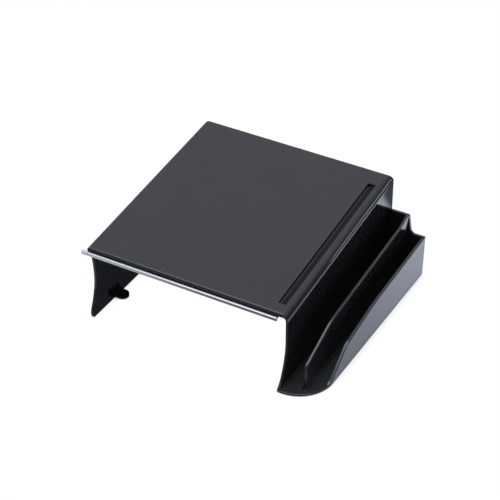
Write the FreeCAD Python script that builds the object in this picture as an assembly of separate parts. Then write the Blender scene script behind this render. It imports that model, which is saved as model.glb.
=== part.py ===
import FreeCAD, Part
import math
import os

# Telephone stand: a sloping platform over an open bay for a phone book, with a pencil groove,
# a pull-out index tray under the platform, and a two-slot organizer down the right side.
# All sizes are in millimetres. The sizes below are measured from three planes: X from the outer
# face of the left foot, Y from the platform's front edge, with the back at plus, and Z from the
# table. The finished solids are moved so that the origin is under the middle of the whole stand.

V = FreeCAD.Vector

# Whole stand
WIDTH = 313.0                   # left foot to the organizer's outer face, at the foot
DEPTH = 274.4                   # platform's front edge to the back
BODY_WIDTH = 265.0              # left foot to the bay's right wall
FRONT_HEIGHT = 96.2             # platform's top surface, carried on to its front edge
BACK_HEIGHT = 132.0             # platform's top surface, carried on to the back
WALL = 3.0
SLOPE = (BACK_HEIGHT - FRONT_HEIGHT) / DEPTH
FOOT_LIFT = 0.8                 # mouldings above the table, on the rubber feet

# Platform shell
LEFT_OVERHANG = 8.0             # the front left corner of the platform past the left foot
LEFT_CORNER_RADIUS = 3.0
RIGHT_CORNER_RADIUS = 8.5       # along the platform's right edge and along its back edge
UPRIGHT_CORNER_RADIUS = 4.0     # where the right wall turns into the back
LIP_BOTTOM = 92.0               # the lip turned down along the platform's front edge
LIP_ROUND = 2.8
RIB_HEIGHT = 6.0
RIB_THICKNESS = 2.0
RIB_PLACES = (45.0, 90.0, 135.0, 180.0, 222.0)

# Front edges of the two walls, as (Y, Z) from under the lip down to the foot
RIGHT_WALL_FRONT = ((0.0, 60.0), (-1.0, 45.0), (-4.6, 29.5), (-9.0, 17.5), (-13.6, 8.6), (-18.6, 3.3))
LEFT_WALL_FRONT = ((6.0, 80.0), (6.3, 60.0), (4.6, 44.0), (0.6, 31.0), (-5.6, 18.0), (-10.2, 9.0),
                   (-10.8, 5.2), (-8.8, 0.8))

# Pencil groove
GROOVE_LEFT = 243.3
GROOVE_WIDTH = 10.2
GROOVE_DEPTH = 4.0
GROOVE_START = 15.8
GROOVE_END = 244.8

# Side organizer
FLOOR_LEFT = 262.0              # the floor runs in under the bay's right wall
ORGANIZER_BACK = 267.0          # its back wall ends where the stand's rounded corner starts
FLOOR_THICKNESS = 2.5
FLOOR_REACH = 22.0              # floor's front edge, ahead of the platform's
TOP_ROUND = 1.2                 # rounded upper edge along the floor's front and the outer wall
FRONT_RADIUS = 45.0             # big corner at the outer front
SMALL_CORNER = 3.0              # corner of the floor beside the bay
OUTER_WALL = 3.4
OUTER_DRAFT = 1.0               # the outer wall leans out by this much at its full height
INNER_BACK_HEIGHT = 85.0
OUTER_BACK_HEIGHT = 59.0
OUTER_WALL_BENDS = ((16.4, 3.3, 12.0), (56.5, 35.0, 25.0), (125.0, 48.2, 120.0))    # Y, Z, bend radius

# Divider between the two slots
DIVIDER_X = 289.8
DIVIDER_THICKNESS = 3.6
DIVIDER_ROUND = 1.0
DIVIDER_RIB = 1.3
DIVIDER_RIB_HEIGHT = 2.5
DIVIDER_FRONT = -3.2
DIVIDER_BENDS = ((DIVIDER_FRONT, 35.1, 6.0), (58.8, 60.2, 60.0), (240.0, 79.4, 8.0))  # Y, Z, bend radius

# Index tray, its pull bar and its runners
TRAY_LEFT = 14.0
TRAY_RIGHT = 251.0
TRAY_FRONT = -2.8
TRAY_BACK = 225.6
TRAY_Z = 88.4                   # underside of the tray's plate
TRAY_PLATE = 2.0
TRAY_RIM = 3.0                  # height of the rim over the plate's underside
TRAY_TRAVEL = 150.0
BAR_LEFT = -13.0
BAR_RIGHT = 252.0
BAR_FRONT = -4.8
BAR_BACK = -1.4
BAR_BOTTOM = 87.4
BAR_TOP = 92.2
RUNNER_FRONT = 8.0
RUNNER_BACK = 228.0
RUNNER_PLATE = 2.0
RUNNER_REACH = 6.0              # flange under the tray's edge
RUNNER_LEAD_IN = 14.0           # the flange over the tray starts this far back, to let the tray in
RUNNER_TOP = 1.2                # thickness of that flange
RUNNING_GAP = 0.3
HANGER_THICKNESS = 2.5

# Fasteners and feet
RUNNER_SCREW = (2.2, 3.5, 1.1, 9.0)      # shank diameter, head diameter, head depth, length
RUNNER_SCREW_PLACES = (40.0, 196.0)
ORGANIZER_SCREW = (3.0, 5.6, 1.3, 13.0)
TAB_X = 255.0
TAB_PLACES = (60.0, 226.0)
PAD_DIAMETER = 12.0
PAD_THICKNESS = 1.8
LEFT_PAD_X = 9.5
LEFT_PAD_PLACES = (45.0, 235.0)
ORGANIZER_PADS = {
    "foot_organizer_front_inner": (272.5, -4.0),
    "foot_organizer_front_outer": (297.5, 22.0),
    "foot_organizer_back_inner": (273.0, 252.0),
    "foot_organizer_back_outer": (300.0, 252.0),
}

# Origin of the finished part: under the middle of the whole stand, on the table
ORIGIN = V((BAR_LEFT + WIDTH + OUTER_DRAFT) / 2, (DEPTH - FLOOR_REACH) / 2, 0)


def top_z(y):
    """Height of the platform's top surface, carried on past both its ends."""
    return FRONT_HEIGHT + SLOPE * y


def under_z(y):
    """Height of the platform's underside."""
    return top_z(y) - WALL


def left_x(y):
    """Outer face of the left wall at the platform, which splays out to the front."""
    return -LEFT_OVERHANG * (1 - y / DEPTH)


def rounded_outline(points, radii):
    """Closed wire through the points, with an arc of the given radius at each corner."""
    edges = []
    starts = []
    ends = []
    middles = []
    count = len(points)
    for i, (corner, radius) in enumerate(zip(points, radii)):
        before = (points[i - 1] - corner).normalize()
        after = (points[(i + 1) % count] - corner).normalize()
        half = before.getAngle(after) / 2
        setback = radius / math.tan(half)
        starts.append(corner + before * setback)
        ends.append(corner + after * setback)
        bisector = (before + after).normalize()
        middles.append(corner + bisector * (radius / math.sin(half) - radius))
    for i in range(count):
        if radii[i] > 0:
            edges.append(Part.Arc(starts[i], middles[i], ends[i]).toShape())
        edges.append(Part.LineSegment(ends[i], starts[(i + 1) % count]).toShape())
    return Part.Wire(edges)


def prism(wire, direction):
    """Solid made by moving the face inside a wire along a vector."""
    return Part.Face(wire).extrude(direction)


def polygon_prism(points, direction):
    """Prism over a plain polygon."""
    return prism(Part.makePolygon(points + [points[0]]), direction)


def curve_through(points):
    """Smooth edge through a few points."""
    curve = Part.BSplineCurve()
    curve.interpolate(points)
    return curve.toShape()


def box(x0, x1, y0, y1, z0, z1):
    """Box from its lowest to its highest corner."""
    return Part.makeBox(x1 - x0, y1 - y0, z1 - z0, V(x0, y0, z0))


def countersunk_screw(sizes, point, direction):
    """Countersunk screw with its head's flat face at the point and its end along the direction."""
    shank, head, depth, length = sizes
    cone = Part.makeCone(head / 2, shank / 2, depth, point, direction)
    body = Part.makeCylinder(shank / 2, length - depth, point + direction * depth, direction)
    return cone.fuse(body).removeSplitter()


def body_block(front, back, bottom, inset):
    """The stand's body as one block between two Y values, taken in from its outer faces by an inset."""
    right = BODY_WIDTH - inset
    side = [V(-40, front, bottom), V(-40, front, top_z(front) - inset),
            V(-40, back, top_z(back) - inset), V(-40, back, bottom)]
    block = polygon_prism(side, V(right + 40, 0, 0))
    beyond = []
    for y in (front - 1, back + 1):
        lean = left_x(y) / (top_z(y) - bottom)
        beyond.append(Part.makePolygon([V(-60, y, bottom - 10), V(inset - 10 * lean, y, bottom - 10),
                                        V(inset + left_x(y) + 10 * lean, y, top_z(y) + 10),
                                        V(-60, y, top_z(y) + 10), V(-60, y, bottom - 10)]))
    block = block.cut(Part.makeLoft(beyond, True, True))
    corner = V(right, back, top_z(back) - inset)
    radii = []
    for number, edge in enumerate(block.Edges, 1):
        if edge.distToShape(Part.Vertex(corner))[0] < 0.01:
            upright = edge.BoundBox.XLength < 0.01 and edge.BoundBox.YLength < 0.01
            radius = UPRIGHT_CORNER_RADIUS if upright else RIGHT_CORNER_RADIUS
            radii.append((number, radius - inset, radius - inset))
    block = round_corner(block, radii)
    left_edge = [edge for edge in long_top_edges(block, bottom) if edge.BoundBox.XMin < inset + 1]
    return block.makeFillet(max(LEFT_CORNER_RADIUS - inset, 0.8), left_edge)


def round_corner(block, radii):
    """Round the edges that meet in one corner, each to its own radius, as a Part::Fillet feature."""
    document = FreeCAD.newDocument("corner")
    base = document.addObject("Part::Feature", "Block")
    base.Shape = block
    fillet = document.addObject("Part::Fillet", "Rounded")
    fillet.Base = base
    fillet.Edges = radii
    document.recompute()
    rounded = fillet.Shape.copy()
    FreeCAD.closeDocument(document.Name)
    return rounded


def long_top_edges(block, bottom):
    """Edges of a body block that run from its front to its back above the foot."""
    edges = [edge for edge in block.Edges if edge.BoundBox.YLength > DEPTH - 10]
    return [edge for edge in edges if edge.BoundBox.ZMin > bottom + 10]


def front_trim(wall_front, x0, x1):
    """Everything ahead of the rounded lip and of one wall's swept front edge."""
    lip_top = top_z(LIP_ROUND)
    nose = V(x0, 0, lip_top - LIP_ROUND)
    middle = V(x0, LIP_ROUND * (1 - math.sqrt(0.5)), lip_top - LIP_ROUND * (1 - math.sqrt(0.5)))
    points = [V(x0, y, z) for y, z in wall_front]
    foot = points[-1]
    edges = [
        Part.LineSegment(V(x0, -80, -5), V(x0, -80, 120)).toShape(),
        Part.LineSegment(V(x0, -80, 120), V(x0, LIP_ROUND, 120)).toShape(),
        Part.LineSegment(V(x0, LIP_ROUND, 120), V(x0, LIP_ROUND, lip_top)).toShape(),
        Part.Arc(V(x0, LIP_ROUND, lip_top), middle, nose).toShape(),
        Part.LineSegment(nose, V(x0, 0, LIP_BOTTOM)).toShape(),
        Part.LineSegment(V(x0, 0, LIP_BOTTOM), points[0]).toShape(),
        curve_through(points),
        Part.LineSegment(foot, V(x0, foot.y, -5)).toShape(),
        Part.LineSegment(V(x0, foot.y, -5), V(x0, -80, -5)).toShape(),
    ]
    return prism(Part.Wire(edges), V(x1 - x0, 0, 0))


def groove_cutter():
    """Pencil groove: a steep left side, a rounded bottom and a right side that blends out."""
    left = GROOVE_LEFT
    right = GROOVE_LEFT + GROOVE_WIDTH
    y = GROOVE_START
    z = top_z(y)
    edges = [
        Part.LineSegment(V(left, y, z + 3), V(left, y, z - 2.4)).toShape(),
        Part.Arc(V(left, y, z - 2.4), V(left + 0.7, y, z - 3.6), V(left + 2.4, y, z - GROOVE_DEPTH)).toShape(),
        Part.Arc(V(left + 2.4, y, z - GROOVE_DEPTH), V(left + 6.6, y, z - 2.9), V(right, y, z + 0.2)).toShape(),
        Part.LineSegment(V(right, y, z + 0.2), V(right, y, z + 3)).toShape(),
        Part.LineSegment(V(right, y, z + 3), V(left, y, z + 3)).toShape(),
    ]
    length = GROOVE_END - GROOVE_START
    return prism(Part.Wire(edges), V(0, length, SLOPE * length))


def groove_trough():
    """Thicker strip under the platform that holds the groove."""
    y = GROOVE_START - 2.5
    z = top_z(y)
    left = GROOVE_LEFT - 2.5
    right = GROOVE_LEFT + GROOVE_WIDTH + 1.5
    points = [V(left, y, z - 1), V(left, y, z - 5.7), V(right, y, z - 4.4), V(right, y, z - 1)]
    length = GROOVE_END - GROOVE_START + 5
    return prism(rounded_outline(points, [0, 2, 1.2, 0]), V(0, length, SLOPE * length))


def platform_ribs():
    """Stiffening ribs under the platform, running from front to back."""
    ribs = []
    for x in RIB_PLACES:
        points = [V(x, 45, under_z(45) + 0.5),
                  V(x, DEPTH - WALL, under_z(DEPTH - WALL) + 0.5),
                  V(x, DEPTH - WALL, under_z(DEPTH - WALL) - RIB_HEIGHT),
                  V(x, 58, under_z(58) - RIB_HEIGHT)]
        ribs.append(polygon_prism(points, V(RIB_THICKNESS, 0, 0)))
    return ribs


def hanger(x, side):
    """Web hanging from the platform that carries a runner, with its screw bosses."""
    bottom = TRAY_Z - 3.0
    points = [V(x, RUNNER_FRONT, under_z(RUNNER_FRONT) + 0.5),
              V(x, RUNNER_BACK, under_z(RUNNER_BACK) + 0.5),
              V(x, RUNNER_BACK, bottom),
              V(x, RUNNER_FRONT, bottom)]
    web = polygon_prism(points, V(HANGER_THICKNESS, 0, 0))
    inner = x + HANGER_THICKNESS if side < 0 else x
    outer = x if side < 0 else x + HANGER_THICKNESS
    z = TRAY_Z + TRAY_RIM / 2
    for y in RUNNER_SCREW_PLACES:
        boss = Part.makeCylinder(3.2, 5.0, V(outer, y, z), V(side, 0, 0))
        web = web.fuse(boss)
    for y in RUNNER_SCREW_PLACES:
        web = web.cut(Part.makeCylinder(RUNNER_SCREW[0] / 2, 7.6, V(inner, y, z), V(side, 0, 0)))
    return web


def foot_blocks():
    """Pads moulded at the foot of the left wall, each with a pocket for a rubber foot."""
    blocks = []
    for y in LEFT_PAD_PLACES:
        post = Part.makeCylinder(PAD_DIAMETER / 2 + 2, 3.6, V(LEFT_PAD_X, y, FOOT_LIFT))
        bridge = box(1.5, LEFT_PAD_X, y - PAD_DIAMETER / 2 - 2, y + PAD_DIAMETER / 2 + 2, FOOT_LIFT, FOOT_LIFT + 3.6)
        gusset = polygon_prism([V(1.8, y - 1.2, 4.0), V(13.5, y - 1.2, 4.0), V(1.8, y - 1.2, 17.0)], V(0, 2.4, 0))
        blocks.append(post.fuse(bridge).fuse(gusset))
    return blocks


def screw_posts():
    """Posts on the bay side of the right wall, over the organizer's three tabs."""
    posts = []
    floor_top = FOOT_LIFT + FLOOR_THICKNESS
    for y in TAB_PLACES:
        post = Part.makeCylinder(4.5, 16.0, V(TAB_X, y, floor_top))
        bridge = box(TAB_X, BODY_WIDTH - 1.5, y - 3, y + 3, floor_top, floor_top + 16.0)
        posts.append(post.fuse(bridge))
    return posts


def platform_shell():
    """Platform, side walls and back in one moulding, with its lip, groove, ribs and hangers."""
    floor_top = FOOT_LIFT + FLOOR_THICKNESS
    front = -30.0
    outer = body_block(front, DEPTH, FOOT_LIFT, 0)
    inner = body_block(front - 5, DEPTH - WALL, FOOT_LIFT - 1, WALL)
    lip = box(-20, 280, 0, WALL, LIP_BOTTOM, LIP_BOTTOM + 3).common(outer)
    shell = outer.cut(inner).fuse(lip)
    shell = shell.cut(front_trim(LEFT_WALL_FRONT, -40, BODY_WIDTH / 2))
    shell = shell.cut(front_trim(RIGHT_WALL_FRONT, BODY_WIDTH / 2, BODY_WIDTH + 40))
    shell = shell.cut(box(FLOOR_LEFT - 0.5, BODY_WIDTH + 1, -60, DEPTH + 5, -2, floor_top))
    shell = shell.fuse(groove_trough()).cut(groove_cutter())
    left_hanger = hanger(TRAY_LEFT - 0.5 - RUNNER_PLATE - HANGER_THICKNESS, -1)
    right_hanger = hanger(TRAY_RIGHT + 0.5 + RUNNER_PLATE, 1)
    shell = shell.fuse(platform_ribs() + [left_hanger, right_hanger] + foot_blocks() + screw_posts())
    for y in LEFT_PAD_PLACES:
        shell = shell.cut(Part.makeCylinder(PAD_DIAMETER / 2, PAD_THICKNESS, V(LEFT_PAD_X, y, 0)))
    for y in TAB_PLACES:
        shell = shell.cut(screw_hole(V(TAB_X, y, FOOT_LIFT)))
    return shell.removeSplitter()


def screw_hole(point):
    """Space that an organizer screw takes, head down."""
    return countersunk_screw(ORGANIZER_SCREW, point, V(0, 0, 1))


def organizer_block(inset):
    """Everything inside the organizer's outline, leaning out by the draft, with a big front corner."""
    height = OUTER_BACK_HEIGHT - FOOT_LIFT
    top = OUTER_BACK_HEIGHT
    right = WIDTH - inset
    front = inset - FLOOR_REACH
    centre = V(WIDTH - FRONT_RADIUS, FRONT_RADIUS - FLOOR_REACH, FOOT_LIFT)
    across = polygon_prism([V(FLOOR_LEFT, -60, FOOT_LIFT), V(right, -60, FOOT_LIFT),
                            V(right + OUTER_DRAFT, -60, top), V(FLOOR_LEFT, -60, top)],
                           V(0, 60 + ORGANIZER_BACK - inset, 0))
    along = polygon_prism([V(200, front, FOOT_LIFT), V(200, ORGANIZER_BACK + 5, FOOT_LIFT),
                           V(200, ORGANIZER_BACK + 5, top), V(200, front - OUTER_DRAFT, top)], V(200, 0, 0))
    corner = box(centre.x, WIDTH + 20, -60, centre.y, 0, 100)
    radius = FRONT_RADIUS - inset
    cone = Part.makeCone(radius, radius + OUTER_DRAFT, height, centre)
    return across.common(along).cut(corner).fuse(cone.common(corner)).removeSplitter()


def organizer_body():
    """Floor and outer wall in one: a block trimmed under an S-shaped line, then hollowed out."""
    floor_top = FOOT_LIFT + FLOOR_THICKNESS
    x0 = WIDTH - 70
    y1 = ORGANIZER_BACK + 10
    line = [V(x0, -60, floor_top)]
    line += [V(x0, y, z) for y, z, radius in OUTER_WALL_BENDS]
    line += [V(x0, y1, OUTER_BACK_HEIGHT), V(x0, y1, -5), V(x0, -60, -5)]
    radii = [0] + [radius for y, z, radius in OUTER_WALL_BENDS] + [0, 0, 0]
    under = prism(rounded_outline(line, radii), V(100, 0, 0))
    block = organizer_block(0).common(under)
    hollow = organizer_block(OUTER_WALL).cut(box(200, 400, -100, 300, -5, floor_top))
    hollow = hollow.fuse(box(FLOOR_LEFT - 5, WIDTH - 20, -60, ORGANIZER_BACK - OUTER_WALL, floor_top, 100))
    hollow = hollow.fuse(box(FLOOR_LEFT - 5, BODY_WIDTH, -60, ORGANIZER_BACK + 5, floor_top, 100))
    body = block.cut(hollow).removeSplitter()
    corner = [edge for edge in body.Edges if is_front_corner(edge)]
    body = body.makeFillet(SMALL_CORNER, corner)
    return body.makeFillet(TOP_ROUND, [edge for edge in body.Edges if is_outer_rim(edge)])


def is_front_corner(edge):
    """True for the upright edge of the floor's front corner, beside the bay."""
    limits = edge.BoundBox
    return limits.XMax < FLOOR_LEFT + 0.1 and limits.YMax < 0.1 - FLOOR_REACH


def is_outer_rim(edge):
    """True for the upper edges on the organizer's outer face, from the floor's front to the back."""
    middle = edge.valueAt((edge.FirstParameter + edge.LastParameter) / 2)
    limits = edge.BoundBox
    if middle.z < FOOT_LIFT + FLOOR_THICKNESS - 0.01:
        return False
    lean = OUTER_DRAFT * (middle.z - FOOT_LIFT) / (OUTER_BACK_HEIGHT - FOOT_LIFT)
    corner = V(WIDTH - FRONT_RADIUS, FRONT_RADIUS - FLOOR_REACH, middle.z)
    if middle.y > corner.y:
        return abs(middle.x - WIDTH - lean) < 0.15 and limits.YLength > 0.01
    if middle.x > corner.x:
        return abs(middle.distanceToPoint(corner) - FRONT_RADIUS - lean) < 0.15 and limits.YLength > 0.01
    return middle.x > FLOOR_LEFT + 3.5 and abs(middle.y + FLOOR_REACH + lean) < 0.15 and limits.ZLength < 0.01


def organizer_back():
    """Back wall: tall behind the inner slot, stepping down to the outer wall's height."""
    step = DIVIDER_X + DIVIDER_THICKNESS / 2
    y = ORGANIZER_BACK - OUTER_WALL
    points = [V(BODY_WIDTH, y, FOOT_LIFT),
              V(BODY_WIDTH, y, INNER_BACK_HEIGHT),
              V(step, y, INNER_BACK_HEIGHT),
              V(step + 4, y, OUTER_BACK_HEIGHT),
              V(WIDTH + OUTER_DRAFT, y, OUTER_BACK_HEIGHT),
              V(WIDTH, y, FOOT_LIFT)]
    return prism(rounded_outline(points, [0, 1.5, 3, 6, 0.8, 0]), V(0, OUTER_WALL, 0))


def divider_ribs():
    """Two low ribs on the floor that hold the divider between them, and two on the back wall."""
    floor_top = FOOT_LIFT + FLOOR_THICKNESS
    inner = DIVIDER_X - DIVIDER_THICKNESS / 2
    outer = DIVIDER_X + DIVIDER_THICKNESS / 2
    back = ORGANIZER_BACK - OUTER_WALL
    ribs = []
    for x, reach in ((inner - DIVIDER_RIB, -11.0), (outer, -9.5)):
        points = [V(x, reach, floor_top - 0.5), V(x, reach + 2.5, floor_top + DIVIDER_RIB_HEIGHT),
                  V(x, back + 0.5, floor_top + DIVIDER_RIB_HEIGHT), V(x, back + 0.5, floor_top - 0.5)]
        ribs.append(polygon_prism(points, V(DIVIDER_RIB, 0, 0)))
    ribs.append(box(inner - DIVIDER_RIB, inner, back - 3.5, back + 0.5, floor_top, INNER_BACK_HEIGHT - 6))
    ribs.append(box(outer, outer + DIVIDER_RIB, back - 3.5, back + 0.5, floor_top, OUTER_BACK_HEIGHT - 6))
    return ribs


def side_organizer():
    """Organizer tray: swept floor, curved outer wall, stepped back wall, ribs and screw tabs."""
    tray = organizer_body()
    for y in TAB_PLACES:
        tab = Part.makeCylinder(6.5, FLOOR_THICKNESS, V(TAB_X, y, FOOT_LIFT))
        neck = box(TAB_X, FLOOR_LEFT + 1, y - 6.5, y + 6.5, FOOT_LIFT, FOOT_LIFT + FLOOR_THICKNESS)
        tray = tray.fuse(tab).fuse(neck)
    tray = tray.fuse([organizer_back()] + divider_ribs())
    for x, y in ORGANIZER_PADS.values():
        tray = tray.cut(Part.makeCylinder(PAD_DIAMETER / 2, PAD_THICKNESS, V(x, y, 0)))
    for y in TAB_PLACES:
        tray = tray.cut(screw_hole(V(TAB_X, y, FOOT_LIFT)))
    return tray.removeSplitter()


def organizer_divider():
    """Partition whose top sweeps up from a rounded front and kicks up to the tall back wall."""
    x = DIVIDER_X - DIVIDER_THICKNESS / 2
    bottom = FOOT_LIFT + FLOOR_THICKNESS
    back = ORGANIZER_BACK - OUTER_WALL
    line = [V(x, DIVIDER_FRONT, bottom)]
    line += [V(x, y, z) for y, z, radius in DIVIDER_BENDS]
    line += [V(x, back, INNER_BACK_HEIGHT + 1.5), V(x, back, bottom)]
    radii = [0] + [radius for y, z, radius in DIVIDER_BENDS] + [0, 0]
    divider = prism(rounded_outline(line, radii), V(DIVIDER_THICKNESS, 0, 0))
    rounded = [edge for edge in divider.Edges if is_divider_top(edge)]
    return divider.makeFillet(DIVIDER_ROUND, rounded)


def is_divider_top(edge):
    """True for the divider's long edges, apart from those at the floor and at the back wall."""
    limits = edge.BoundBox
    along = limits.XLength < 0.01
    return along and limits.ZMax > 10 and limits.YMin < ORGANIZER_BACK - OUTER_WALL - 1


def index_tray():
    """Shallow tray with a rim on three sides, two rear hooks and stiffening ribs underneath."""
    top = TRAY_Z + TRAY_RIM
    plate = box(TRAY_LEFT, TRAY_RIGHT, TRAY_FRONT, TRAY_BACK, TRAY_Z, TRAY_Z + TRAY_PLATE)
    rim = box(TRAY_LEFT, TRAY_RIGHT, 1.0, TRAY_BACK, TRAY_Z, top)
    pan = rounded_outline([V(TRAY_LEFT + 7, -20, TRAY_Z + 1.2), V(TRAY_RIGHT - 7, -20, TRAY_Z + 1.2),
                           V(TRAY_RIGHT - 7, TRAY_BACK - 3, TRAY_Z + 1.2),
                           V(TRAY_LEFT + 7, TRAY_BACK - 3, TRAY_Z + 1.2)], [0, 0, 6, 6])
    hollow = prism(pan, V(0, 0, 5)).common(box(0, 300, 3.0, 300, 0, 200))
    tray = plate.fuse(rim).cut(hollow)
    reach = TRAY_TRAVEL + RUNNER_FRONT + 3.3
    for x in (TRAY_LEFT + 5.9, TRAY_RIGHT - 5.9 - 4.6):
        tray = tray.fuse(box(x, x + 4.6, reach, reach + 2.6, TRAY_Z - 2.1, TRAY_Z + 0.5))
    for y in (40.0, 110.0):
        tray = tray.fuse(box(TRAY_LEFT + 14, TRAY_RIGHT - 14, y, y + 1.8, TRAY_Z - 1.6, TRAY_Z + 0.5))
    return tray.removeSplitter()


def tray_pull_bar():
    """Channel pressed over the tray's front edge, with a rounded nose."""
    x = BAR_LEFT
    points = [V(x, BAR_FRONT, BAR_BOTTOM), V(x, BAR_FRONT, BAR_TOP), V(x, BAR_BACK, BAR_TOP), V(x, BAR_BACK, BAR_BOTTOM)]
    bar = prism(rounded_outline(points, [1.5, 1.2, 0.4, 0.4]), V(BAR_RIGHT - BAR_LEFT, 0, 0))
    return bar.cut(box(x - 1, BAR_RIGHT + 1, TRAY_FRONT, BAR_BACK + 1, TRAY_Z, TRAY_Z + TRAY_PLATE))


def runner(back_x, side):
    """Channel under one edge of the tray, with a stop tab in front and an end wall behind."""
    z_plate = TRAY_Z - 2.8
    z_low = TRAY_Z - RUNNING_GAP
    z_high = TRAY_Z + TRAY_RIM + RUNNING_GAP
    length = RUNNER_BACK - RUNNER_FRONT

    def strip(reach_from, reach_to, y0, y1, z0, z1):
        a = back_x - side * reach_from
        b = back_x - side * reach_to
        return box(min(a, b), max(a, b), y0, y1, z0, z1)

    z_top = z_high + RUNNER_TOP
    lead_in = RUNNER_FRONT + RUNNER_LEAD_IN
    body = strip(0, RUNNER_PLATE, RUNNER_FRONT, RUNNER_BACK, z_plate, z_top)
    low = strip(RUNNER_PLATE, RUNNER_PLATE + RUNNER_REACH, RUNNER_FRONT, RUNNER_BACK, z_low - 2.0, z_low)
    high = strip(RUNNER_PLATE, RUNNER_PLATE + 4.0, lead_in, RUNNER_BACK, z_high, z_top)
    end = strip(RUNNER_PLATE, RUNNER_PLATE + RUNNER_REACH, RUNNER_FRONT + length - 2.0, RUNNER_BACK,
                z_low - 2.0, z_top)
    tab = strip(RUNNER_PLATE + RUNNER_REACH, RUNNER_PLATE + RUNNER_REACH + 5.0, RUNNER_FRONT, RUNNER_FRONT + 3.0,
                z_low - 2.0, z_low)
    channel = body.fuse([low, high, end, tab])
    for screw in runner_screw_set(back_x, side):
        channel = channel.cut(screw)
    return channel.removeSplitter()


def runner_screw_set(back_x, side):
    """Screws of one runner, heads flush inside the channel."""
    z = TRAY_Z + TRAY_RIM / 2
    head = back_x - side * RUNNER_PLATE
    return [countersunk_screw(RUNNER_SCREW, V(head, y, z), V(side, 0, 0)) for y in RUNNER_SCREW_PLACES]


def rubber_foot(x, y):
    """Round rubber foot in its pocket."""
    return Part.makeCylinder(PAD_DIAMETER / 2, PAD_THICKNESS, V(x, y, 0))


def subparts():
    """Every separate piece of the stand, by name."""
    left_back = TRAY_LEFT - 0.5 - RUNNER_PLATE
    right_back = TRAY_RIGHT + 0.5 + RUNNER_PLATE
    parts = {
        "platform_shell": platform_shell(),
        "side_organizer": side_organizer(),
        "organizer_divider": organizer_divider(),
        "index_tray": index_tray(),
        "tray_pull_bar": tray_pull_bar(),
        "runner_left": runner(left_back, -1),
        "runner_right": runner(right_back, 1),
        "runner_screws": Part.makeCompound(runner_screw_set(left_back, -1) + runner_screw_set(right_back, 1)),
        "organizer_screws": Part.makeCompound([screw_hole(V(TAB_X, y, FOOT_LIFT)) for y in TAB_PLACES]),
    }
    for name, y in zip(("foot_left_front", "foot_left_back"), LEFT_PAD_PLACES):
        parts[name] = rubber_foot(LEFT_PAD_X, y)
    for name, (x, y) in ORGANIZER_PADS.items():
        parts[name] = rubber_foot(x, y)
    return parts


def main():
    os.makedirs("parts", exist_ok=True)
    for name, shape in subparts().items():
        shape.translate(-ORIGIN)
        shape.exportStep("parts/" + name + ".step")
        print(name, shape.ShapeType, len(shape.Solids), round(shape.Volume), shape.isValid())


if __name__ == "__main__":
    main()
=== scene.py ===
# %% [markdown]
# A desk stand with a side organizer and a pull-out tray, dressed in Blender.
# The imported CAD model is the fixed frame: its solids give every size and place, in metres, with +Z up,
# the open front towards -Y and the side organizer towards +X. This script gives each moulding a real
# finish, makes the small fittings again with more detail than a solid needs, and lights the stand softly.

from math import pi, radians

import bpy
import numpy as np
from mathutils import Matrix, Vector


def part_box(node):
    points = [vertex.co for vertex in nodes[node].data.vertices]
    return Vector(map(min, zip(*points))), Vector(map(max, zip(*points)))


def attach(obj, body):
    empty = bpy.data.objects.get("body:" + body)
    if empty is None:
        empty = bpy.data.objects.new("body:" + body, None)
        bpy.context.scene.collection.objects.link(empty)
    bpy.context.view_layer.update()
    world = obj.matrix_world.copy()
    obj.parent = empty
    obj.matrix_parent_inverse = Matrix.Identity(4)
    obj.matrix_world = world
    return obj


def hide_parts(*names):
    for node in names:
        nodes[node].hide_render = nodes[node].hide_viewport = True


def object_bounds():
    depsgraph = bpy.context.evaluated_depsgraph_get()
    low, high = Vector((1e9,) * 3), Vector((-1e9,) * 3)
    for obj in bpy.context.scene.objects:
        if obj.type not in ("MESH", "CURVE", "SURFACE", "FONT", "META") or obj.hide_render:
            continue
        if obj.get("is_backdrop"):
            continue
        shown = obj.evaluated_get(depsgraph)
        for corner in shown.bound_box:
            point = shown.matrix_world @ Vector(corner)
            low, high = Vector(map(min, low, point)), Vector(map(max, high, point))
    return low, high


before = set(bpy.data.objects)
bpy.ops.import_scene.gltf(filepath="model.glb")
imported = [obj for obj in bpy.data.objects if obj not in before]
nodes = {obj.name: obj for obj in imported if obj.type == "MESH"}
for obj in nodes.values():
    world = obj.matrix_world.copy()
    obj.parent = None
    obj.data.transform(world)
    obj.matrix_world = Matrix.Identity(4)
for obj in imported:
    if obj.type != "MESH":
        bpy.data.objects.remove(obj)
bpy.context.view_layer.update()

# %% [markdown]
# The plastic of this stand is one material in several finishes: polished on the faces that show, fine
# matte on the tray and its channels. What they share is built once, as node groups with named inputs.
# The groups only work out masks and heights. The shader itself stays in each material.

# %% Helpers for node groups
def start_group(name, inputs, outputs):
    """A shader node group with float or colour sockets; returns it with its input and output nodes."""
    group = bpy.data.node_groups.new(name, "ShaderNodeTree")
    for label, kind, value in inputs:
        socket = group.interface.new_socket(label, in_out="INPUT", socket_type="NodeSocket" + kind)
        socket.default_value = value
    for label, kind in outputs:
        group.interface.new_socket(label, in_out="OUTPUT", socket_type="NodeSocket" + kind)
    return group, group.nodes.new("NodeGroupInput"), group.nodes.new("NodeGroupOutput")


def add(tree, kind, **settings):
    """A node of one kind, with its own settings given by name."""
    node = tree.nodes.new("ShaderNode" + kind)
    for key, value in settings.items():
        setattr(node, key, value)
    return node


def feed(tree, socket, value):
    """Gives an input socket a number, or a link from another node's output."""
    if isinstance(value, (int, float)):
        socket.default_value = value
    else:
        tree.links.new(value, socket)


def maths(tree, operation, a, b, clamp=False):
    """A Math node on two inputs, each a socket or a number; returns its output socket."""
    node = add(tree, "Math", operation=operation, use_clamp=clamp)
    feed(tree, node.inputs[0], a)
    feed(tree, node.inputs[1], b)
    return node.outputs[0]


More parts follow.
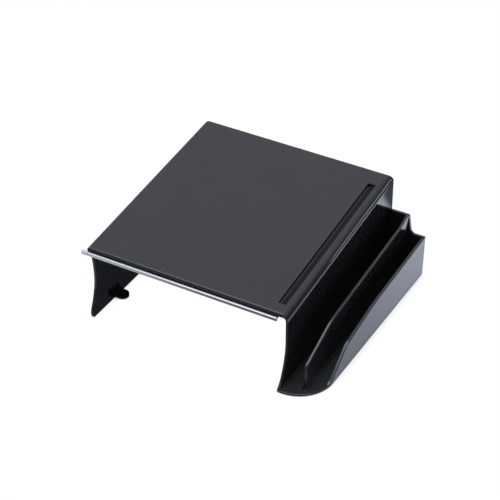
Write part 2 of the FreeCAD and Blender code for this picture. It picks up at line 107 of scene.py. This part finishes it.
def contrast(tree, value, floor, gain):
    """(value - floor) x gain, kept between 0 and 1: picks the high parts of a noise."""
    return maths(tree, "MULTIPLY", maths(tree, "SUBTRACT", value, floor), gain, clamp=True)


def noise(tree, vector, scale, detail, roughness=0.5):
    """Noise between 0 and 1 on a vector socket; scale is a socket or a number, per metre."""
    node = add(tree, "TexNoise")
    tree.links.new(vector, node.inputs["Vector"])
    node.inputs["Detail"].default_value = detail
    node.inputs["Roughness"].default_value = roughness
    feed(tree, node.inputs["Scale"], scale)
    return node.outputs["Fac"]


def object_place(tree):
    """The point's own place on the piece, in metres."""
    return add(tree, "TexCoord").outputs["Object"]


# %% [markdown]
# Moulded plastic is never a perfect mirror. The skin has a fine ripple, like orange peel, that came from
# the mould's polish, and long shallow waves where the thick places shrank. A noise at two scales gives
# both as one height, in metres, for a Bump node.

# %% Group: the moulded skin
def moulded_skin_group():
    """Height = ripple depth x fine noise + wave depth x broad noise, on the object's own coordinates."""
    group, given, made = start_group(
        "moulded_skin",
        [("Ripple Scale", "Float", 900.0), ("Ripple Depth", "Float", 0.000002),
         ("Wave Scale", "Float", 22.0), ("Wave Depth", "Float", 0.00003)],
        [("Height", "Float")])
    place = object_place(group)
    ripple = noise(group, place, given.outputs["Ripple Scale"], detail=1.0)
    wave = noise(group, place, given.outputs["Wave Scale"], detail=0.0)
    height = maths(group, "ADD", maths(group, "MULTIPLY", ripple, given.outputs["Ripple Depth"]),
                   maths(group, "MULTIPLY", wave, given.outputs["Wave Depth"]))
    group.links.new(height, made.inputs["Height"])
    return group


# %% [markdown]
# Hands leave faint smears, and cloths leave hairlines along the direction of wiping. Both only change how
# sharp a reflection is, so this group gives one roughness. The smears are a broad noise with soft limits,
# and the hairlines a noise on coordinates that are squeezed across the wiping direction.

# %% Group: handled gloss
def handled_gloss_group():
    """Roughness = clean + smear share x broad noise + hairline share x stretched noise, up to one."""
    group, given, made = start_group(
        "handled_gloss",
        [("Clean", "Float", 0.12), ("Smears", "Float", 0.08), ("Hairlines", "Float", 0.05)],
        [("Roughness", "Float")])
    smears_per_metre, hairs_per_metre = 14.0, 1400.0
    wiping_squeeze, wiping_turn = 0.03, 0.12
    place = object_place(group)
    smear = noise(group, place, smears_per_metre, detail=3.0, roughness=0.55)
    smear = contrast(group, smear, 0.42, 3.0)
    squeeze = add(group, "Mapping", vector_type="POINT")
    squeeze.inputs["Scale"].default_value = (1.0, wiping_squeeze, 1.0)
    squeeze.inputs["Rotation"].default_value = (0.0, 0.0, wiping_turn)
    group.links.new(place, squeeze.inputs["Vector"])
    hair = noise(group, squeeze.outputs["Vector"], hairs_per_metre, detail=2.0)
    hair = contrast(group, hair, 0.58, 6.0)
    smear_share = maths(group, "MULTIPLY", smear, given.outputs["Smears"])
    hair_share = maths(group, "MULTIPLY", hair, given.outputs["Hairlines"])
    rough = maths(group, "ADD", given.outputs["Clean"], smear_share)
    rough = maths(group, "ADD", rough, hair_share, clamp=True)
    group.links.new(rough, made.inputs["Roughness"])
    return group


# %% [markdown]
# Edges are touched most, so the polish on them goes first and they look a little greyer. A Bevel node
# gives the normal that a rounded edge would have. Where it turns away from the true normal, there is an
# edge, and a noise breaks the mask up so that it isn't a drawn line.

# %% Group: rubbed edges
def rubbed_edges_group():
    """Mask = (1 - rounded normal . true normal) x gain x broken noise, between 0 and 1."""
    group, given, made = start_group(
        "rubbed_edges", [("Width", "Float", 0.0012), ("Amount", "Float", 1.0)], [("Mask", "Float")])
    bevel = add(group, "Bevel", samples=4)
    group.links.new(given.outputs["Width"], bevel.inputs["Radius"])
    true = add(group, "NewGeometry").outputs["Normal"]
    dot = add(group, "VectorMath", operation="DOT_PRODUCT")
    group.links.new(bevel.outputs["Normal"], dot.inputs[0])
    group.links.new(true, dot.inputs[1])
    turn_gain, patches_per_metre = 5.0, 160.0
    turn = maths(group, "SUBTRACT", 1.0, dot.outputs["Value"])
    turn = maths(group, "MULTIPLY", turn, turn_gain, clamp=True)
    broken = noise(group, object_place(group), patches_per_metre, detail=3.0)
    broken = contrast(group, broken, 0.3, 2.0)
    edge = maths(group, "MULTIPLY", turn, broken)
    mask = maths(group, "MULTIPLY", edge, given.outputs["Amount"], clamp=True)
    group.links.new(mask, made.inputs["Mask"])
    return group


# %% [markdown]
# Dust settles on what faces up, in thin patches. The mask is the upward part of the normal times a noise.

# %% Group: settled dust
def settled_dust_group():
    """Mask = upward normal, raised to a power, x patchy noise x amount."""
    group, given, made = start_group("settled_dust", [("Amount", "Float", 0.1)], [("Mask", "Float")])
    normal = add(group, "NewGeometry").outputs["Normal"]
    split = add(group, "SeparateXYZ")
    group.links.new(normal, split.inputs[0])
    flatness_power, patches_per_metre = 3.0, 35.0
    up = maths(group, "MAXIMUM", split.outputs["Z"], 0.0)
    up = maths(group, "POWER", up, flatness_power)
    patch = noise(group, object_place(group), patches_per_metre, detail=5.0, roughness=0.7)
    settled = maths(group, "MULTIPLY", up, patch)
    mask = maths(group, "MULTIPLY", settled, given.outputs["Amount"], clamp=True)
    group.links.new(mask, made.inputs["Mask"])
    return group


skin_group = moulded_skin_group()
gloss_group = handled_gloss_group()
edge_group = rubbed_edges_group()
dust_group = settled_dust_group()
print("node groups:", sorted(g.name for g in bpy.data.node_groups))

# %% [markdown]
# Every finish then picks its own values. The base colour goes from the plastic's own colour to a greyer
# one on the rubbed edges and to a pale one under the dust.

# %% A finish from the groups
def use_group(tree, group, **values):
    """Places a group in a material, with its inputs set by name (underscores stand for spaces)."""
    node = tree.nodes.new("ShaderNodeGroup")
    node.node_tree = group
    for key, value in values.items():
        node.inputs[key.replace("_", " ")].default_value = value
    return node


def mix_colour(tree, mask, a, b):
    """Colour a where the mask is 0 and b where it is 1; each is a colour or a socket.
    A Mix node has inputs for every kind of data: its colours are inputs 6 and 7, and output 2."""
    node = add(tree, "Mix", data_type="RGBA")
    tree.links.new(mask, node.inputs["Factor"])
    for socket, value in ((node.inputs[6], a), (node.inputs[7], b)):
        if isinstance(value, tuple):
            socket.default_value = (*value, 1.0)
        else:
            tree.links.new(value, socket)
    return node.outputs[2]


def new_finish(name):
    """A new material; returns it with its node tree and its Principled shader."""
    material = bpy.data.materials.new(name)
    material.use_nodes = True
    tree = material.node_tree
    return material, tree, tree.nodes["Principled BSDF"]


def raise_surface(tree, shader, height):
    """Turns a height in metres into the shader's normal."""
    bump = add(tree, "Bump")
    bump.inputs["Strength"].default_value = 1.0
    bump.inputs["Distance"].default_value = 1.0
    tree.links.new(height, bump.inputs["Height"])
    tree.links.new(bump.outputs["Normal"], shader.inputs["Normal"])


POLYSTYRENE_IOR = 1.59
COOL_GLOSS = (0.87, 0.93, 1.0, 1.0)
DUST_COLOUR = (0.35, 0.34, 0.33)
EDGE_AMOUNT = 0.6
EDGE_DULLING = 0.12


def plastic(name, colour, rubbed, clean, smears, hairlines, ripple, wave, edge_width, dust):
    """A moulded plastic: its colour, what its edges rub to, and its gloss, ripple, waves and dust."""
    material, tree, shader = new_finish(name)
    edge = use_group(tree, edge_group, Width=edge_width, Amount=EDGE_AMOUNT).outputs["Mask"]
    lint = use_group(tree, dust_group, Amount=dust).outputs["Mask"]
    colours = mix_colour(tree, edge, colour, rubbed)
    colours = mix_colour(tree, lint, colours, DUST_COLOUR)
    tree.links.new(colours, shader.inputs["Base Color"])
    gloss = use_group(tree, gloss_group, Clean=clean, Smears=smears, Hairlines=hairlines)
    dulled = maths(tree, "MULTIPLY", edge, EDGE_DULLING)
    rough = maths(tree, "ADD", gloss.outputs["Roughness"], dulled, clamp=True)
    tree.links.new(rough, shader.inputs["Roughness"])
    skin = use_group(tree, skin_group, Ripple_Depth=ripple, Wave_Depth=wave)
    raise_surface(tree, shader, skin.outputs["Height"])
    shader.inputs["IOR"].default_value = POLYSTYRENE_IOR
    shader.inputs["Specular Tint"].default_value = COOL_GLOSS
    return material


# %% [markdown]
# The stand's body and the organizer are black polystyrene with a high polish. In the studio it looks dark
# grey on top, where it mirrors the ceiling, and pale grey on the outer wall, where it mirrors the white
# table at a flat angle. So the black stays black, and the reflections do the rest.

# %% The finishes
polished_black = plastic(
    "polished_black", (0.016, 0.0165, 0.0175), (0.027, 0.028, 0.030),
    clean=0.09, smears=0.05, hairlines=0.03, ripple=4e-7, wave=1e-5, edge_width=0.0010, dust=0.03)
tray_black = plastic(
    "tray_black", (0.016, 0.017, 0.019), (0.05, 0.05, 0.054),
    clean=0.36, smears=0.10, hairlines=0.04, ripple=4e-6, wave=1e-5, edge_width=0.0008, dust=0.05)
channel_black = plastic(
    "channel_black", (0.02, 0.02, 0.022), (0.06, 0.06, 0.062),
    clean=0.42, smears=0.08, hairlines=0.02, ripple=4e-6, wave=1e-5, edge_width=0.0006, dust=0.03)


def dress(material, *names):
    """Gives CAD nodes one finish."""
    for name in names:
        nodes[name].data.materials.clear()
        nodes[name].data.materials.append(material)


dress(polished_black, "platform_shell", "side_organizer", "organizer_divider")
dress(tray_black, "index_tray")
dress(channel_black, "runner_left", "runner_right")
print("finishes:", sorted(m.name for m in bpy.data.materials))

# %% [markdown]
# The tray's pull bar is a satin metal channel. Brushing leaves fine lines along its length: a noise on
# coordinates that are squeezed along X gives both the streaks in the roughness and a shallow bump.

# %% Finish: satin metal
def satin_metal(name, colour, rough_low, rough_high, along):
    """A brushed metal: noise squeezed along one axis sets roughness between two values, and a bump."""
    streaks_per_metre, streak_depth, edge_shine = 2600.0, 1e-6, 1.25
    material, tree, shader = new_finish(name)
    squeeze = add(tree, "Mapping")
    squeeze.inputs["Scale"].default_value = along
    tree.links.new(object_place(tree), squeeze.inputs["Vector"])
    streak = noise(tree, squeeze.outputs["Vector"], streaks_per_metre, detail=3.0)
    edge = use_group(tree, edge_group, Width=0.0004, Amount=0.5).outputs["Mask"]
    colours = mix_colour(tree, edge, colour, tuple(min(1.0, edge_shine * c) for c in colour))
    tree.links.new(colours, shader.inputs["Base Color"])
    span = add(tree, "MapRange")
    span.inputs["To Min"].default_value = rough_low
    span.inputs["To Max"].default_value = rough_high
    tree.links.new(streak, span.inputs["Value"])
    tree.links.new(span.outputs["Result"], shader.inputs["Roughness"])
    raise_surface(tree, shader, maths(tree, "MULTIPLY", streak, streak_depth))
    shader.inputs["Metallic"].default_value = 1.0
    return material


bar_metal = satin_metal("bar_metal", (0.66, 0.665, 0.68), 0.26, 0.40, along=(0.02, 1.0, 1.0))
screw_metal = satin_metal("screw_metal", (0.58, 0.58, 0.56), 0.22, 0.45, along=(1.0, 1.0, 0.2))
print("metals:", bar_metal.name, screw_metal.name)

# %% [markdown]
# Rubber is the one finish with no gloss. It is dark grey rather than black, and a fine grain breaks up
# what little it reflects. Dust clings to it.

# %% Finish: foot rubber
def foot_rubber_finish():
    """Dark matte rubber: fine noise as a bump, dust in the colour."""
    bare, dusty = (0.018, 0.018, 0.019), (0.042, 0.041, 0.04)
    grains_per_metre, grain_depth, patches_per_metre = 2200.0, 3e-5, 260.0
    material, tree, shader = new_finish("foot_rubber")
    place = object_place(tree)
    patch = noise(tree, place, patches_per_metre, detail=4.0)
    tree.links.new(mix_colour(tree, patch, bare, dusty), shader.inputs["Base Color"])
    shader.inputs["Roughness"].default_value = 0.82
    grain = noise(tree, place, grains_per_metre, detail=3.0)
    raise_surface(tree, shader, maths(tree, "MULTIPLY", grain, grain_depth))
    return material


foot_rubber = foot_rubber_finish()
print("rubber:", foot_rubber.name)

# %% [markdown]
# The small fittings are made again as surfaces. A surface here is a grid of points, worked out as whole
# numpy arrays from two parameters, and one helper turns such a grid into a mesh. Every grid here closes on
# itself: its last column joins its first, and its first and last rows are each closed with one face.

# %% From a grid of points to a piece
def grid_piece(name, points, material):
    """Mesh from an array of shape (rows, columns, 3): quads between neighbours, a face at each end."""
    rows, columns, _ = points.shape
    index = np.arange(rows * columns).reshape(rows, columns)
    around = np.hstack([index, index[:, :1]])
    corners = [around[:-1, :-1], around[:-1, 1:], around[1:, 1:], around[1:, :-1]]
    faces = np.stack(corners, axis=-1).reshape(-1, 4).tolist()
    faces.append(index[0, ::-1].tolist())
    faces.append(index[-1].tolist())
    mesh = bpy.data.meshes.new(name)
    mesh.from_pydata(points.reshape(-1, 3).tolist(), [], faces)
    mesh.polygons.foreach_set("use_smooth", np.full(len(faces), True))
    mesh.materials.append(material)
    piece = bpy.data.objects.new(name, mesh)
    bpy.context.scene.collection.objects.link(piece)
    return piece


def rounded_outline(corners, radii, steps=7):
    """Closed outline in a plane: each corner becomes an arc of its radius, touching both its sides.
    The arc's centre lies on the corner's bisector at radius / sin(half angle)."""
    corners = np.array(corners, float)
    before = np.roll(corners, 1, axis=0) - corners
    after = np.roll(corners, -1, axis=0) - corners
    before /= np.linalg.norm(before, axis=1, keepdims=True)
    after /= np.linalg.norm(after, axis=1, keepdims=True)
    half = np.arccos(np.clip((before * after).sum(1), -1, 1)) / 2
    bisector = before + after
    bisector /= np.linalg.norm(bisector, axis=1, keepdims=True)
    radii = np.array(radii, float)
    centre = corners + bisector * (radii / np.sin(half))[:, None]
    sweep = np.linspace(-1, 1, steps)[None, :] * (pi / 2 - half)[:, None]
    toward = -bisector
    across = np.stack([-toward[:, 1], toward[:, 0]], axis=1)
    turn = np.sign(np.cross(before, after))[:, None]
    out_part = np.cos(sweep)[..., None] * toward[:, None, :]
    side_part = (turn * np.sin(sweep))[..., None] * across[:, None, :]
    arc = centre[:, None, :] + radii[:, None, None] * (out_part - side_part)
    return arc.reshape(-1, 2)


# %% [markdown]
# The pull bar is a channel: a flat strip folded round the tray's front edge, with a rounded nose and a
# slot behind. Its section is one closed outline, carried straight along X. Close to each end the section
# draws in a little, as on a bar whose ends were broken with a file. One more station just inside the filed
# end keeps the smooth shading of the long faces true, so that the bar mirrors as a straight bar does.

# %% The pull bar
def pull_bar():
    """Section in Y and Z from the CAD box, times stations in X. Over the filed length at each end the
    section moves towards its middle along a quarter of an ellipse."""
    low, high = (np.array(corner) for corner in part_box("tray_pull_bar"))
    y0, z0 = low[1], low[2]
    y1, z1 = high[1], high[2]
    floor_thickness, slot_height, nose_thickness = 0.00098, 0.00204, 0.00198
    slot_low, slot_deep = z0 + floor_thickness, y0 + nose_thickness
    slot_high = slot_low + slot_height
    corners_and_radii = [
        ((y1, z0), 0.0003), ((y0, z0), 0.0015), ((y0, z1), 0.0012), ((y1, z1), 0.0004),
        ((y1, slot_high), 0.0002), ((slot_deep, slot_high), 0.0003),
        ((slot_deep, slot_low), 0.0003), ((y1, slot_low), 0.0002)]
    section = rounded_outline(*zip(*corners_and_radii))
    filed, filed_share = 0.0004, 0.5
    turn = np.linspace(0, pi / 2, 5)
    inset = np.append(filed * (1 - np.cos(turn)), 2 * filed)
    stations = np.concatenate([low[0] + inset, high[0] - inset[::-1]])
    draw = np.append(filed * (1 - np.sin(turn)), 0.0)
    draw = np.concatenate([draw, draw[::-1]])
    middle = section.mean(0)
    inward = (middle - section) / np.linalg.norm(middle - section, axis=1, keepdims=True)
    points = np.empty((len(stations), len(section), 3))
    points[..., 0] = stations[:, None]
    points[..., 1:] = section[None] + inward[None] * draw[:, None, None] * filed_share
    piece = grid_piece("pull_bar", points, bar_metal)
    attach(piece, "tray")
    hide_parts("tray_pull_bar")
    return piece


print("pull bar:", len(pull_bar().data.vertices), "points")

# %% [markdown]
# Turned shapes, such as a foot or a screw, come from a profile of radius and height, turned about an
# axis. For the rubber feet the profile has a soft lower edge and two tread rings under the sole.

# %% The rubber feet
def turned(profile, steps):
    """Points (radius cos a, radius sin a, height) for each profile row and each angle a."""
    angle = np.linspace(0, 2 * pi, steps, endpoint=False)
    radius, height = np.array(profile, float).T
    return np.stack([radius[:, None] * np.cos(angle), radius[:, None] * np.sin(angle),
                     np.repeat(height[:, None], steps, axis=1)], axis=-1)


def rubber_foot(node):
    """A foot in its CAD node's place: sole with rings of 0.25 mm, quarter-round edge, straight side."""
    low, high = (np.array(corner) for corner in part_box(node))
    middle = (low + high) / 2
    full = (high[0] - low[0]) / 2
    soft_edge, half_ring_depth, ring_turns, ringed_share = 0.0008, 0.00012, 3, 0.86
    top_opening, around = 0.0004, 48
    sole = np.linspace(0.0, full - soft_edge, 40)
    wave = 1 - np.cos(sole / full * ring_turns * 2 * pi)
    rings = half_ring_depth * wave * (sole < full * ringed_share)
    edge = np.linspace(0, pi / 2, 7)[1:]
    rim_radius = full - soft_edge + soft_edge * np.sin(edge)
    rim_height = soft_edge * (1 - np.cos(edge))
    radius = np.concatenate([sole[1:], rim_radius, [full, top_opening]])
    height = np.concatenate([rings[1:], rim_height, [high[2] - low[2]] * 2])
    points = turned(np.stack([radius, height], axis=1), around)[:, ::-1]
    points += np.array([middle[0], middle[1], low[2]])
    piece = grid_piece(node + "_rubber", points, foot_rubber)
    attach(piece, "stand")
    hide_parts(node)
    return piece


feet = [rubber_foot(name) for name in sorted(nodes) if name.startswith("foot_")]
print("feet:", len(feet))

# %% [markdown]
# A screw is one surface too. Its parameters are the angle and the way along: over the flat head, down the
# countersink, along the thread and into the end. The cross recess is a dip where the point lies close to
# either of two lines through the middle, and the thread is a ridge whose phase grows with the angle.

# %% The screws
def screw_surface(shank, head, cone, length, pitch, steps=56):
    """Radius and height on a grid of (way along, angle), head at height 0 and the end towards plus.
    Recess depth = half the cone x smooth cross mask. Thread radius = shank x (1 - depth x groove), where
    the groove is a cosine of height / pitch less the angle, faded out at both ends."""
    angle = np.linspace(0, 2 * pi, steps, endpoint=False)[None, :]
    arm_half_width, arm_reach, thread_depth = 0.16 * head, 0.62 * head, 0.16
    flat = np.linspace(0.02, 1.0, 16)[:, None] * head
    x, y = flat * np.cos(angle), flat * np.sin(angle)
    arm = np.minimum(np.abs(x), np.abs(y)) / arm_half_width
    reach = np.maximum(np.abs(x), np.abs(y)) / arm_reach
    dip = np.clip(1.6 - arm, 0, 1) * np.clip((1.0 - reach) * 4, 0, 1)
    head_height = 0.5 * cone * dip
    side = np.linspace(0, 1, 5)[1:, None]
    cone_radius = head + (shank - head) * side + 0 * angle
    cone_height = cone * side + 0 * angle
    rows_per_pitch = 8
    rows = int((length - cone) / pitch * rows_per_pitch)
    height = np.linspace(cone, length - pitch, rows)[1:, None] + 0 * angle
    ridge = 0.5 + 0.5 * np.cos(2 * pi * height / pitch - angle)
    fade = np.clip((height - cone) / pitch, 0, 1) * np.clip((length - pitch - height) / pitch, 0, 1)
    thread_radius = shank * (1 - thread_depth * (1 - ridge) * fade)
    end_radius = shank * np.array([[0.7], [0.05]]) + 0 * angle
    end_height = length + np.array([[-0.1], [0.0]]) * pitch + 0 * angle
    radius = np.concatenate([flat + 0 * angle, cone_radius, thread_radius, end_radius])
    heights = np.concatenate([head_height, cone_height, height, end_height])
    return np.stack([radius * np.cos(angle), radius * np.sin(angle), heights], axis=-1)


def place_screws(name, node, local, heads, axes):
    """One mesh of several screws: local z goes along each axis, from each head's point."""
    screws = []
    for head, axis in zip(np.array(heads, float), np.array(axes, float)):
        side = np.cross(axis, (0.0, 1.0, 0.0))
        side /= np.linalg.norm(side)
        frame_axes = np.stack([side, np.cross(axis, side), axis])
        screws.append(grid_piece(name, local @ frame_axes + head, screw_metal))
    piece = screws[0]
    with bpy.context.temp_override(active_object=piece, selected_editable_objects=screws):
        bpy.ops.object.join()
    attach(piece, "stand")
    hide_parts(node)
    return piece


inside_cad = 0.00001
low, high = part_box("runner_screws")
runner_head, runner_length = 0.00175, 0.009
runner_local = screw_surface(shank=0.0011, head=runner_head - inside_cad, cone=0.0011,
                             length=runner_length, pitch=0.0009)
runner_z = (low[2] + high[2]) / 2
runner_heads = [(x, y, runner_z) for x in (low[0] + runner_length, high[0] - runner_length)
                for y in (low[1] + runner_head, high[1] - runner_head)]
runner_axes = [(-1, 0, 0)] * 2 + [(1, 0, 0)] * 2
place_screws("runner_fixings", "runner_screws", runner_local, runner_heads, runner_axes)

low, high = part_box("organizer_screws")
organizer_head = 0.0028
organizer_local = screw_surface(shank=0.0015, head=organizer_head - inside_cad, cone=0.0013,
                                length=0.0129, pitch=0.0011)
organizer_x = (low[0] + high[0]) / 2
organizer_heads = [(organizer_x, y, low[2]) for y in (low[1] + organizer_head, high[1] - organizer_head)]
organizer_axes = [(0, 0, 1)] * 2
place_screws("organizer_fixings", "organizer_screws", organizer_local, organizer_heads, organizer_axes)
print("screws:", len(runner_heads) + len(organizer_heads))

# %% [markdown]
# The stage is a wide white table. What the camera sees of it is plain white, darkened only close to the
# stand, where an Ambient Occlusion node finds less open sky. Black gloss has no look of its own beyond what
# it mirrors, and here that is mostly the table, so its brightness in the gloss is painted by place, as a
# photographer does with white and black boards: painted reflections, brighter than white beside the stand,
# and painted shade in the mirrored table under and behind it. One function of X and Y gives it, which is
# easier to tune than boards that would have to stay out of the picture, and it puts no more light on the
# object.

# %% Floor
def soft_step(tree, value, start, end, low, high):
    """Goes from low to high with a smooth step while the value goes from start to end."""
    step = add(tree, "MapRange", interpolation_type="SMOOTHSTEP")
    tree.links.new(value, step.inputs["Value"])
    for socket, number in (("From Min", start), ("From Max", end), ("To Min", low), ("To Max", high)):
        step.inputs[socket].default_value = number
    return step.outputs["Result"]


def painted_table_reflection(tree):
    """How bright the gloss sees the table, from the place on it, in metres: a painted reflection. In front
    of the stand, where the pull bar's face looks, it falls from left to right, painted shade towards the
    right.
    Beside the stand, where the organizer's outer wall looks, it rises towards the back, a painted
    reflection up to twice white. Behind it and under it it is dark, painted shade in the mirrored table,
    and far away it is dark as well, which keeps the right wall's back corner, the left wall's inside and
    the front edges deep black."""
    place = object_place(tree)
    where = add(tree, "SeparateXYZ")
    tree.links.new(place, where.inputs[0])
    x, y = where.outputs["X"], where.outputs["Y"]
    dark = 0.12
    # painted shade: in front of the stand the mirrored table dims from left to right
    front = soft_step(tree, x, -0.24, -0.02, 0.80, 0.20)
    towards_back = maths(tree, "ADD", maths(tree, "MULTIPLY", x, 0.6), y)
    # painted reflection: beside the stand the mirrored table brightens towards the back, past white
    beside = soft_step(tree, towards_back, -0.05, 0.50, 0.81, 2.03)
    # painted shade: the mirrored table goes dark behind the stand and under it
    behind = soft_step(tree, maths(tree, "SUBTRACT", y, x), 0.080, 0.094, 1.0, dark)
    below = soft_step(tree, x, 0.05, 0.14, dark, 1.0)
    beside = maths(tree, "MULTIPLY", beside, maths(tree, "MINIMUM", behind, below))
    past_front = soft_step(tree, y, -0.17, -0.125, 0.0, 1.0)
    near = add(tree, "Mix", data_type="FLOAT")
    factor_input, float_a_input, float_b_input = 0, 2, 3
    tree.links.new(past_front, near.inputs[factor_input])
    tree.links.new(front, near.inputs[float_a_input])
    tree.links.new(beside, near.inputs[float_b_input])
    away = add(tree, "VectorMath", operation="DISTANCE")
    tree.links.new(place, away.inputs[0])
    away.inputs[1].default_value = (-0.08, -0.10, 0.0)
    far = soft_step(tree, away.outputs["Value"], 0.47, 0.65, 1.0, dark)
    return maths(tree, "MULTIPLY", near.outputs[0], far)


WHITE = (1.0, 1.0, 1.0)
COOL_WHITE = (0.80, 0.86, 1.0)
CONTACT_SHADE = (0.45, 0.46, 0.48)
TABLE_COLOUR = (0.84, 0.88, 0.95)


def white_floor():
    """A square of 12 m on the table's plane. The camera sees it plain white, darker only close to the
    stand, the gloss sees painted_table_reflection, and all other light falls on a plain white matt surface."""
    half = 6.0
    corners = [(-half, -half, 0.0), (half, -half, 0.0), (half, half, 0.0), (-half, half, 0.0)]
    mesh = bpy.data.meshes.new("floor")
    mesh.from_pydata(corners, [], [(0, 1, 2, 3)])
    floor = bpy.data.objects.new("floor", mesh)
    bpy.context.scene.collection.objects.link(floor)
    material, tree, _ = new_finish("white_table")
    tree.nodes.clear()
    out = add(tree, "OutputMaterial")
    lit = add(tree, "BsdfDiffuse")
    lit.inputs["Color"].default_value = (*TABLE_COLOUR, 1.0)
    seen = add(tree, "Emission")
    shade = add(tree, "AmbientOcclusion", samples=16)
    shade.inputs["Distance"].default_value = 0.02
    open_sky = contrast(tree, shade.outputs["AO"], 0.2, 2.2)
    path = add(tree, "LightPath")
    mirror = path.outputs["Is Glossy Ray"]
    open_floor = mix_colour(tree, mirror, WHITE, COOL_WHITE)
    tree.links.new(mix_colour(tree, open_sky, CONTACT_SHADE, open_floor), seen.inputs["Color"])
    # the painted reflections and painted shade of the mirrored table, as its strength for glossy rays
    painted_reflection_strength = painted_table_reflection(tree)
    excess = maths(tree, "MULTIPLY", maths(tree, "SUBTRACT", painted_reflection_strength, 1.0), mirror)
    tree.links.new(maths(tree, "ADD", excess, 1.0), seen.inputs["Strength"])
    both = add(tree, "MixShader")
    tree.links.new(maths(tree, "MAXIMUM", path.outputs["Is Camera Ray"], mirror), both.inputs["Fac"])
    tree.links.new(lit.outputs[0], both.inputs[1])
    tree.links.new(seen.outputs[0], both.inputs[2])
    tree.links.new(both.outputs[0], out.inputs["Surface"])
    mesh.materials.append(material)
    floor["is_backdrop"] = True
    return floor


print("stage:", white_floor().name)

# %% [markdown]
# The room is dark low down and has a wide pale ceiling, like a studio with a big cloth over the table. The
# polished top mirrors the ceiling as an even grey. Where its edge rounds over, the mirrored view sinks
# below the ceiling and goes black, so the side walls look deep black beside it. A small pale card behind
# the right back corner draws the thin bright line along that rounding, and a wide soft lamp overhead
# lights what isn't glossy.

# %% Room and lamps
def room_light(horizon, ceiling, lean, fade_from, fade_to):
    """World colour by how far a view agrees with the leaning axis: the horizon's colour below one value,
    the ceiling's above another, with a soft step between them. The camera itself sees plain white."""
    world = bpy.data.worlds.new("room")
    bpy.context.scene.world = world
    world.use_nodes = True
    tree = world.node_tree
    tree.nodes.clear()
    out = add(tree, "OutputWorld")
    place = add(tree, "TexCoord").outputs["Generated"]
    agree = add(tree, "VectorMath", operation="DOT_PRODUCT")
    tree.links.new(place, agree.inputs[0])
    agree.inputs[1].default_value = lean
    step = soft_step(tree, agree.outputs["Value"], fade_from, fade_to, 0.0, 1.0)
    colour = mix_colour(tree, step, horizon, ceiling)
    light = add(tree, "Background")
    tree.links.new(colour, light.inputs["Color"])
    plain = add(tree, "Background")
    plain.inputs["Color"].default_value = (*WHITE, 1.0)
    path = add(tree, "LightPath")
    both = add(tree, "MixShader")
    tree.links.new(path.outputs["Is Camera Ray"], both.inputs["Fac"])
    tree.links.new(light.outputs[0], both.inputs[1])
    tree.links.new(plain.outputs[0], both.inputs[2])
    tree.links.new(both.outputs[0], out.inputs["Surface"])


def soft_lamp(name, place, aim, width, height, power):
    """A rectangular area lamp at a place, turned to a point, which the camera doesn't see. Sizes are in
    metres and power in watts."""
    data = bpy.data.lights.new(name, "AREA")
    data.shape = "RECTANGLE"
    data.size = width
    data.size_y = height
    data.energy = power
    lamp = bpy.data.objects.new(name, data)
    bpy.context.scene.collection.objects.link(lamp)
    lamp.location = place
    lamp.rotation_euler = (Vector(aim) - Vector(place)).to_track_quat("-Z", "Y").to_euler()
    lamp.visible_camera = False


def card(name, place, aim, width, height, strength):
    """A pale card, turned to a point: a lamp with the power that gives its face the brightness."""
    soft_lamp(name, place, aim, width, height, strength * width * height * pi)


room_light(horizon=(0.09, 0.095, 0.11), ceiling=(0.69, 0.71, 0.77), lean=(-0.40, 0.10, 0.91),
           fade_from=0.10, fade_to=0.92)
card("back_right_card", (0.56, 0.46, 0.215), (0.11, 0.08, 0.115), 0.17, 0.15, strength=2.6)
soft_lamp("overhead", (-0.2, -0.2, 1.8), (0.0, 0.0, 0.05), 1.6, 1.6, power=20.0)
print("lamps:", sorted(lamp.name for lamp in bpy.data.lights))

# %% [markdown]
# The camera stands where the photographer stood: to the right of the front, looking down at 36 degrees
# from about two metres, with a long lens, so that parallel edges stay almost parallel.

# %% Camera
camera_data = bpy.data.cameras.new("camera")
camera_data.sensor_width = 36.0
camera_data.lens = 129.37
camera = bpy.data.objects.new("camera", camera_data)
camera.location = (0.86292, -1.53974, 1.35412)
camera.rotation_euler = (radians(53.943), 0.0, radians(29.449))
bpy.context.scene.collection.objects.link(camera)
bpy.context.scene.camera = camera
bpy.context.scene.view_settings.view_transform = "Standard"
print("camera at", [round(v, 2) for v in camera.location], "with a lens of", camera_data.lens, "mm")

# %% Sizes of the dressed stand
low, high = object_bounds()
print("dressed from", [round(v, 4) for v in low], "to", [round(v, 4) for v in high])
